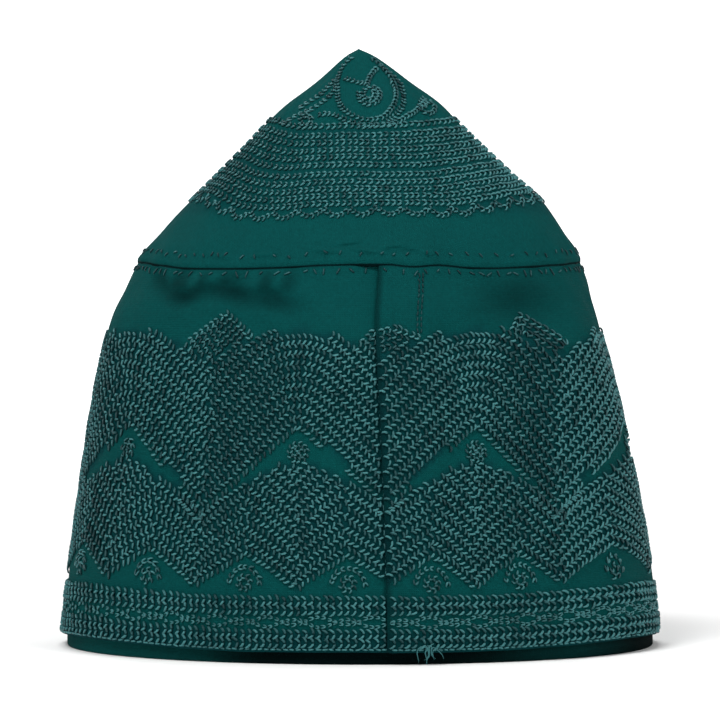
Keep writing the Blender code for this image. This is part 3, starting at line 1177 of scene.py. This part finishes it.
def width_at(height):
    """The crown's share of the seam's width at a height."""
    width = np.linspace(0.0, 1.0, 600)
    level = CROWN_FOOT + read_table(CROWN_SECTIONS, width, 1) * CROWN_RISE
    return np.interp(-height, -level, width)


def crown_row_height(angle, front_drop):
    """The height of a crown row: lower at the front and back, and most on both sides of the front."""
    tip = CROWN_FOOT + CROWN_RISE
    share = smooth_step((front_drop - 0.026) / 0.030)
    cosine = np.cos(np.radians(angle))
    drop = front_drop * (0.897 + 0.103 * cosine**2)
    drop = drop + 0.0032 * (0.4 + 0.6 * share) * round_bump(angle, -37.0, 30.0)
    return tip - drop - 0.0010 * share * round_bump(angle, 28.0, 30.0)


def crown_rows():
    """The rings of chain stitch round the crown and the scalloped row under them."""
    angle = np.linspace(-180.0, 180.0, 1500)
    rows = []
    for front_drop in CROWN_ROW_DROPS:
        height = crown_row_height(angle, front_drop)
        rows.append(row_of(crown_place, angle, width_at(height), CHAIN, None, crown_shades))
    base = crown_row_height(angle, SCALLOP_DROP)
    length = run_up(steps_along(crown_place(angle, width_at(base))))
    scallops = round(length[-1] / SCALLOP_WIDTH)
    wave = np.abs(np.sin(math.pi * scallops * length / length[-1]))
    rows.append(row_of(crown_place, angle, width_at(base - SCALLOP_DEPTH * wave), CURL))
    return rows


def smooth_line(points, count):
    """A smooth line through points."""
    table = [(index, *point) for index, point in enumerate(points)]
    spots = np.linspace(0.0, len(points) - 1.0, count)
    return read_table(table, spots, 1), read_table(table, spots, 2)


def front_view(across, height):
    """Angles and widths of the crown's front at places across and up, in metres."""
    width = width_at(height)
    shift = read_table(CROWN_SECTIONS, width, 2) * SEAM_WIDTH
    sine = (across - shift) / np.maximum(SEAM_WIDTH / 2 * width, 1e-6)
    return np.degrees(np.arcsin(np.clip(sine, -0.985, 0.985))), width


# The motif round the tip, seen from the front, in millimetres: lines across and up, and curls
MOTIF_LINES = (
    (
        (-2.6, 196.4), (-5.6, 193.0), (-7.4, 187.8), (-7.2, 181.8), (-4.6, 177.4), (0.4, 175.0),
        (6.6, 175.2), (10.4, 178.6), (11.8, 183.0), (10.6, 188.4), (7.6, 192.6), (3.6, 196.2),
    ),
    (
        (6.4, 193.6), (9.6, 191.0), (12.8, 187.6), (14.2, 183.6), (14.0, 179.8), (11.8, 176.4),
        (8.4, 173.9),
    ),
    (
        (-13.8, 176.2), (-9.0, 176.5), (-4.0, 174.2), (2.5, 172.9), (9.5, 173.1), (15.5, 175.9),
        (19.0, 178.6), (22.0, 181.6),
    ),
    ((-7.8, 186.0), (-10.6, 182.2), (-15.5, 178.8), (-22.5, 175.4), (-26.5, 172.8)),
    ((-8.2, 188.4), (-12.6, 183.8), (-17.2, 180.6), (-20.4, 178.4)),
    ((2.2, 186.4), (3.6, 190.0), (5.8, 192.6)),
    ((-5.0, 188.8), (-1.6, 187.6), (1.6, 187.2)),
)
MOTIF_CURLS = (
    # across, up, first radius, last radius, turns, start
    (3.4, 183.2, 4.0, 1.0, 1.8, 0.45),
    (-17.4, 174.6, 2.6, 0.9, 1.3, 0.2),
    (22.6, 179.4, 3.2, 1.0, 1.4, 0.3),
)


def motif_rows():
    """Curls, loops and garlands round the tip, at the front and the back."""
    paths = [smooth_line(line, 120) for line in MOTIF_LINES]
    for across, height, radius, end, turns, start in MOTIF_CURLS:
        sweep = 2 * math.pi * (np.linspace(0.0, turns, 90) + start)
        reach = np.linspace(radius, end, 90)
        paths.append((across + reach * np.cos(sweep), height + reach * np.sin(sweep)))
    rows = []
    for turn in (0.0, 180.0):
        for across, height in paths:
            angle, width = front_view(across / 1000.0, height / 1000.0)
            rows.append(row_of(crown_place, angle + turn, width, CURL))
    return rows


def uneven_spots(start, end, least, spread):
    """Angles from the start to the end with uneven steps."""
    spots = []
    angle = start
    while angle < end:
        spots.append(angle)
        angle += least + spread * rng.random()
    return np.array(spots)


def bars(spots, slant, level, level_step, length):
    """Single bar stitches, as numbers in the order of row_of."""
    tone = 0.15 + 0.40 * rng.random(len(spots))
    columns = [spots, spots - slant, spots + slant, level, level - level_step, level + level_step]
    same = [np.full(len(spots), value) for value in (0.0, TICK_LIFT, TICK_RADIUS)]
    return [np.stack(columns + [length, *same, tone], 1)]


def seam_ticks():
    """Short bar stitches across the crown seam, on the panel's side of it."""
    spots = uneven_spots(LAP_ANGLE + 1.0, LAP_END - 1.0, 2.1, 2.6)
    slant = rng.normal(0.0, 0.35, len(spots))
    reach = 0.0013 + 0.0009 * rng.random(len(spots))
    return bars(spots, slant, SLOPE_TOP - reach * 0.55, 0.0004, reach * 1.5)


def crown_ticks():
    """Short bar stitches on the crown's side of the seam."""
    spots = uneven_spots(-180.0, 178.0, 2.4, 3.4)
    slant = rng.normal(0.0, 0.5, len(spots))
    width = 0.982 - 0.012 * rng.random(len(spots))
    return bars(spots, slant, width, -0.004, np.full(len(spots), 0.0020))


def top_stitch():
    """Two short lines of stitches beside the upright seam, under the crown seam."""
    level = np.linspace(SLOPE_TOP - 0.001, TOP_STITCH_FOOT, 120)
    half_width = half_sizes(level)[0]
    rows = []
    for past_fold in TOP_STITCH_PLACES:
        angle = LAP_ANGLE + np.degrees(past_fold / half_width)
        rows.append(row_of(lapped_place, angle, level, TOP_STITCH))
    return rows


def frayed_end(material):
    """Loose thread ends at the foot of the upright seam."""
    points, tri, tones = [], [], []
    base = lapped_place(np.array([FRAY_ANGLE]), np.array([hem_height(FRAY_ANGLE) + 0.0006]))[0]
    spot = np.linspace(0.0, 1.0, FRAY_STEPS + 1)
    radius = FRAY_RADIUS * (1.0 - 0.75 * spot[:, None] ** 3)
    for number in range(FRAY_STRANDS):
        lean = rng.normal(0.0, 1.0, 3)
        length = 0.0030 + 0.0022 * rng.random()
        start = base + np.array([rng.normal(0.0, 0.0013), -0.0006, rng.random() * 0.0010])
        path = np.stack([
            start[0] + 0.0016 * lean[0] * spot + 0.0005 * np.sin(spot * 7.0 + number),
            start[1] - 0.0006 * np.sin(spot * 3.0) - 0.0004 * abs(lean[1]) * spot,
            start[2] - length * spot**1.3 + 0.0006 * np.sin(spot * 5.0 + lean[2]),
        ], 1)
        path[:, 2] = np.maximum(path[:, 2], 0.0004)
        along = unit(np.gradient(path, axis=0))
        side = unit(np.cross(along, np.array([0.0, -1.0, 0.15])))
        other = unit(np.cross(side, along))
        turns = np.radians([0.0, 90.0, 180.0, 270.0])
        ring = [path + radius * (math.cos(turn) * side + math.sin(turn) * other) for turn in turns]
        points.append(np.stack(ring, 1).reshape(-1, 3))
        tones.append(np.full(len(points[-1]), 1.2 + 0.3 * rng.random()))
        first = number * len(points[-1])
        last = first + 4 * FRAY_STEPS
        for a in range(first, last):
            b = a + 1 if (a - first) % 4 < 3 else a - 3
            tri += [(a, b, b + 4), (a, b + 4, a + 4)]
        tri += [(first, first + 2, first + 1), (first, first + 3, first + 2)]
        tri += [(last, last + 1, last + 2), (last, last + 2, last + 3)]
    points, tones = np.concatenate(points), np.concatenate(tones)
    triangle_piece("frayed_end", points, np.array(tri), tones, material)


# Materials


class Nodes:
    """Short calls to build a material's nodes."""

    def __init__(self, name):
        self.material = bpy.data.materials.new(name)
        self.material.use_nodes = True
        self.tree = self.material.node_tree
        self.shader = self.tree.nodes["Principled BSDF"]
        self.spot = self.add("ShaderNodeTexCoord").outputs["Object"]

    def feed(self, socket, value):
        if isinstance(value, bpy.types.NodeSocket):
            self.tree.links.new(value, socket)
        else:
            socket.default_value = value

    def add(self, kind, inputs=None, **settings):
        node = self.tree.nodes.new(kind)
        for key, value in settings.items():
            setattr(node, key, value)
        for key, value in (inputs or {}).items():
            self.feed(node.inputs[key], value)
        return node

    def attribute(self, name):
        return self.add("ShaderNodeAttribute", attribute_name=name).outputs["Fac"]

    def mix(self, share, first, second, blend="MIX"):
        inputs = {0: share, 6: first, 7: second}
        return self.add("ShaderNodeMix", inputs, data_type="RGBA", blend_type=blend).outputs[2]

    def math(self, operation, first, second):
        return self.add("ShaderNodeMath", {0: first, 1: second}, operation=operation).outputs[0]

    def scaled(self, value, gain, plus):
        return self.math("ADD", self.math("MULTIPLY", value, gain), plus)

    def noise(self, scale, detail):
        inputs = {"Vector": self.spot, "Scale": scale, "Detail": detail}
        return self.add("ShaderNodeTexNoise", inputs).outputs["Fac"]

    def raised(self, strength, distance, height):
        inputs = {"Strength": strength, "Distance": distance, "Height": height}
        return self.add("ShaderNodeBump", inputs).outputs[0]

    def into(self, **values):
        for name, value in values.items():
            self.feed(self.shader.inputs[name.replace("_", " ")], value)


def cloth_material(name, plain, stitch_shade_colour, painted_shade):
    """Woven cotton: a fine weave in relief, mottled colour, painted shade between the stitches, and
    painted shade in seams and creases.
    """
    nodes = Nodes(name)
    weave_place = nodes.add("ShaderNodeUVMap", uv_map="weave").outputs["UV"]
    mottle = nodes.noise(55.0, 4.0)
    grain = nodes.noise(900.0, 3.0)
    colour = nodes.mix(nodes.attribute("stitch_shade"), plain, stitch_shade_colour)
    light = tuple(channel * 1.35 for channel in plain[:3]) + (1.0,)
    share = nodes.math("MULTIPLY", nodes.math("SUBTRACT", mottle, 0.35), 0.8)
    colour = nodes.mix(share, colour, nodes.mix(0.5, colour, light))
    grained = nodes.scaled(grain, 0.5, 0.75)
    grey = nodes.add("ShaderNodeCombineColor", {"Red": grained, "Green": grained, "Blue": grained})
    colour = nodes.mix(1.0, colour, grey.outputs[0], "MULTIPLY")
    wave = {"Vector": weave_place, "Scale": 520.0, "Distortion": 1.2, "Detail": 2.0}
    warp, weft = (
        nodes.add("ShaderNodeTexWave", wave, bands_direction=way).outputs["Fac"] for way in ("X", "Y")
    )
    relief = nodes.scaled(nodes.noise(160.0, 3.0), 2.2, nodes.math("MULTIPLY", warp, weft))
    nodes.into(
        Base_Color=nodes.mix(nodes.attribute("shade"), colour, painted_shade),
        Normal=nodes.raised(0.35, 0.00035, relief), Roughness=0.9, Specular_IOR_Level=0.03,
    )
    return nodes.material


def thread_material(name, low, high):
    """Twisted cotton thread with a soft shine; the tone at each vertex paints highlights, shade and sheen
    into its colour.
    """
    nodes = Nodes(name)
    fibre = nodes.noise(2600.0, 2.0)
    patch = nodes.noise(38.0, 2.0)
    share = nodes.attribute("tone")
    for noise, gain, least in ((patch, 0.7, 0.62), (fibre, 0.5, 0.75)):
        share = nodes.math("MULTIPLY", share, nodes.scaled(noise, gain, least))
    nodes.into(
        Base_Color=nodes.mix(share, low, high), Normal=nodes.raised(0.5, 0.0001, fibre),
        Roughness=0.48, Specular_IOR_Level=0.14,
    )
    return nodes.material


# Studio


def build_floor():
    """A seamless pale floor that glows a little away from the cap and rises into grey walls."""
    turns = np.linspace(0.15, math.pi / 2, 10)
    profile = [(0.6, 0.0), (1.5, 0.0), (FLOOR_REACH, 0.0)]
    profile += [
        (FLOOR_REACH + BOWL_ROUND * math.sin(turn), BOWL_ROUND * (1.0 - math.cos(turn))) for turn in turns
    ]
    profile += [(FLOOR_REACH + BOWL_ROUND, 3 * BOWL_ROUND)]
    round_turns = [2 * math.pi * side / FLOOR_SIDES for side in range(FLOOR_SIDES)]
    points = [
        (reach * math.cos(turn), reach * math.sin(turn), height)
        for reach, height in profile
        for turn in round_turns
    ]
    faces = [tuple(range(FLOOR_SIDES))]
    for ring in range(0, (len(profile) - 1) * FLOOR_SIDES, FLOOR_SIDES):
        for side in range(FLOOR_SIDES):
            one, two = ring + side, ring + (side + 1) % FLOOR_SIDES
            faces.append((one, one + FLOOR_SIDES, two + FLOOR_SIDES, two))
    mesh = bpy.data.meshes.new("studio_floor")
    mesh.from_pydata(points, [], faces)
    mesh.shade_smooth()
    nodes = Nodes("studio_white")
    distance = nodes.add("ShaderNodeVectorMath", {0: nodes.spot}, operation="LENGTH").outputs["Value"]
    height = nodes.add("ShaderNodeSeparateXYZ", {0: nodes.spot}).outputs[2]

    def ramp(value, first, last):
        inputs = {"Value": value, "From Min": first, "From Max": last}
        return nodes.add("ShaderNodeMapRange", inputs).outputs[0]

    white = nodes.mix(nodes.noise(3.0, 2.0), FLOOR_WHITE, FLOOR_LIGHT)
    nodes.into(
        Base_Color=nodes.mix(ramp(height, 0.5, 1.0), white, WALL_GREY),
        Roughness=0.9, Specular_IOR_Level=0.1, Emission_Color=(1.0, 1.0, 1.0, 1.0),
        Emission_Strength=nodes.math("MULTIPLY", ramp(distance, 0.5, 2.4), ramp(height, 0.9, 0.5)),
    )
    mesh.materials.append(nodes.material)
    floor = put("studio_floor", mesh)


def build_studio():
    """The floor, soft lights and the camera."""
    build_floor()
    for name, place, size, watts in LIGHTS:
        data = bpy.data.lights.new(name, "AREA")
        data.shape = "DISK"
        data.size = size
        data.energy = watts
        lamp = put(name, data)
        lamp.location = place
        lamp.rotation_euler = (Vector(LIGHT_AIM) - Vector(place)).to_track_quat("-Z", "Y").to_euler()
    world = bpy.data.worlds.new("studio_world")
    world.use_nodes = True
    background = world.node_tree.nodes["Background"].inputs
    background["Color"].default_value = (1.0, 1.0, 1.0, 1.0)
    background["Strength"].default_value = WORLD_STRENGTH
    bpy.context.scene.world = world
    data = bpy.data.cameras.new("camera")
    data.lens = CAMERA_LENS
    data.sensor_width = 36.0
    data.clip_start = 0.05
    data.clip_end = 30.0
    camera = put("camera", data)
    camera.location = CAMERA_PLACE
    camera.rotation_euler = (math.radians(90.0 - CAMERA_DIP), 0.0, 0.0)
    bpy.context.scene.camera = camera
    bpy.context.scene.view_settings.view_transform = "Standard"


# The frame's box is centred, so the tables' surfaces are moved by the same amount
box_shift = np.zeros(3)
probe_angles = np.linspace(LAP_ANGLE, LAP_END, 721)
probe = lapped_place(*np.meshgrid(probe_angles, np.linspace(0.003, 0.12, 60), indexing="ij"))
low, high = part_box("side_panel")
for axis in (0, 1):
    middle = (probe[..., axis].min() + probe[..., axis].max()) / 2
    box_shift[axis] = (low[axis] + high[axis]) / 2 - middle

crown_cotton = cloth_material("crown_cotton", TEAL, STITCH_SHADE_TEAL, PAINTED_SHADE_DARK)
panel_cotton = cloth_material("panel_cotton", TEAL, STITCH_SHADE_TEAL, PAINTED_SHADE_DARK)
band_cotton = cloth_material("band_cotton", BAND_TEAL, BAND_TEAL, BAND_PAINTED_SHADE)
thread = thread_material("embroidery_thread", THREAD_LOW, THREAD_HIGH)

for piece, material, node, slot in (
    (build_crown(), crown_cotton, "crown", "crown_cloth"),
    (build_panel(), panel_cotton, "side_panel", "panel_cloth"),
    (build_band(), band_cotton, "inner_band", "band_cloth"),
):
    piece.data.materials.append(material)
    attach(piece, "root")
    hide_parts(node)

SIDE = (lapped_place, "panel_cloth")
CROWN = (crown_place, "crown_cloth")
for name, cloth, strand, makers in (
    ("upper_zone_rows", SIDE, LOOP_STRAND, (upper_rows,)),
    ("lower_zone_rows", SIDE, LOOP_STRAND, (lower_rows,)),
    ("leaf_and_flower_rows", SIDE, LOOP_STRAND, (leaf_rows, flower_rows)),
    ("border_rows", SIDE, LOOP_STRAND, (border_rows,)),
    ("hem_dashes", SIDE, DASH_STRAND, (hem_rows, top_stitch, seam_ticks)),
    ("crown_rings", CROWN, LOOP_STRAND, (crown_rows, motif_rows)),
    ("crown_seam_ticks", CROWN, DASH_STRAND, (crown_ticks,)),
):
    sew(name, *cloth, [row for maker in makers for row in maker()], strand, thread)
frayed_end(thread)

build_studio()
